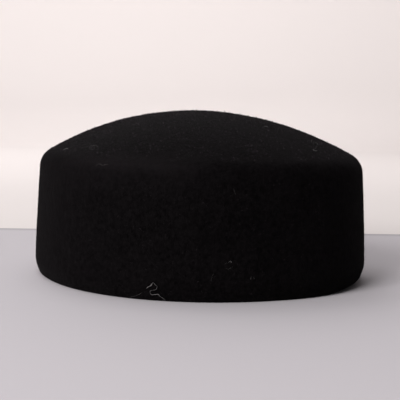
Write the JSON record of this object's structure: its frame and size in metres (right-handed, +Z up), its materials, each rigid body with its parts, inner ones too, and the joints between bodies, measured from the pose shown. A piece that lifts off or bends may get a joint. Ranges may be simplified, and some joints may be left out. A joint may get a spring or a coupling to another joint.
{
  "type": "pillbox hat",
  "caption": "Brimless oval hat of black blocked felt with an upright side wall, rounded shoulder and low domed crown, open below, worn on top of the head.",
  "frame": {"origin": "middle of the lower edge, on the surface that the hat stands on", "axes": "+Z up through the crown, +Y from the hat's front to its back along the long way of the oval, +X across the hat"},
  "size_m": [0.17, 0.19, 0.0875],
  "materials": {
    "felt": "matte wool felt with a short soft nap"
  },
  "bodies": {
    "root": {"felt_crown": "felt"}
  },
  "joints": []
}
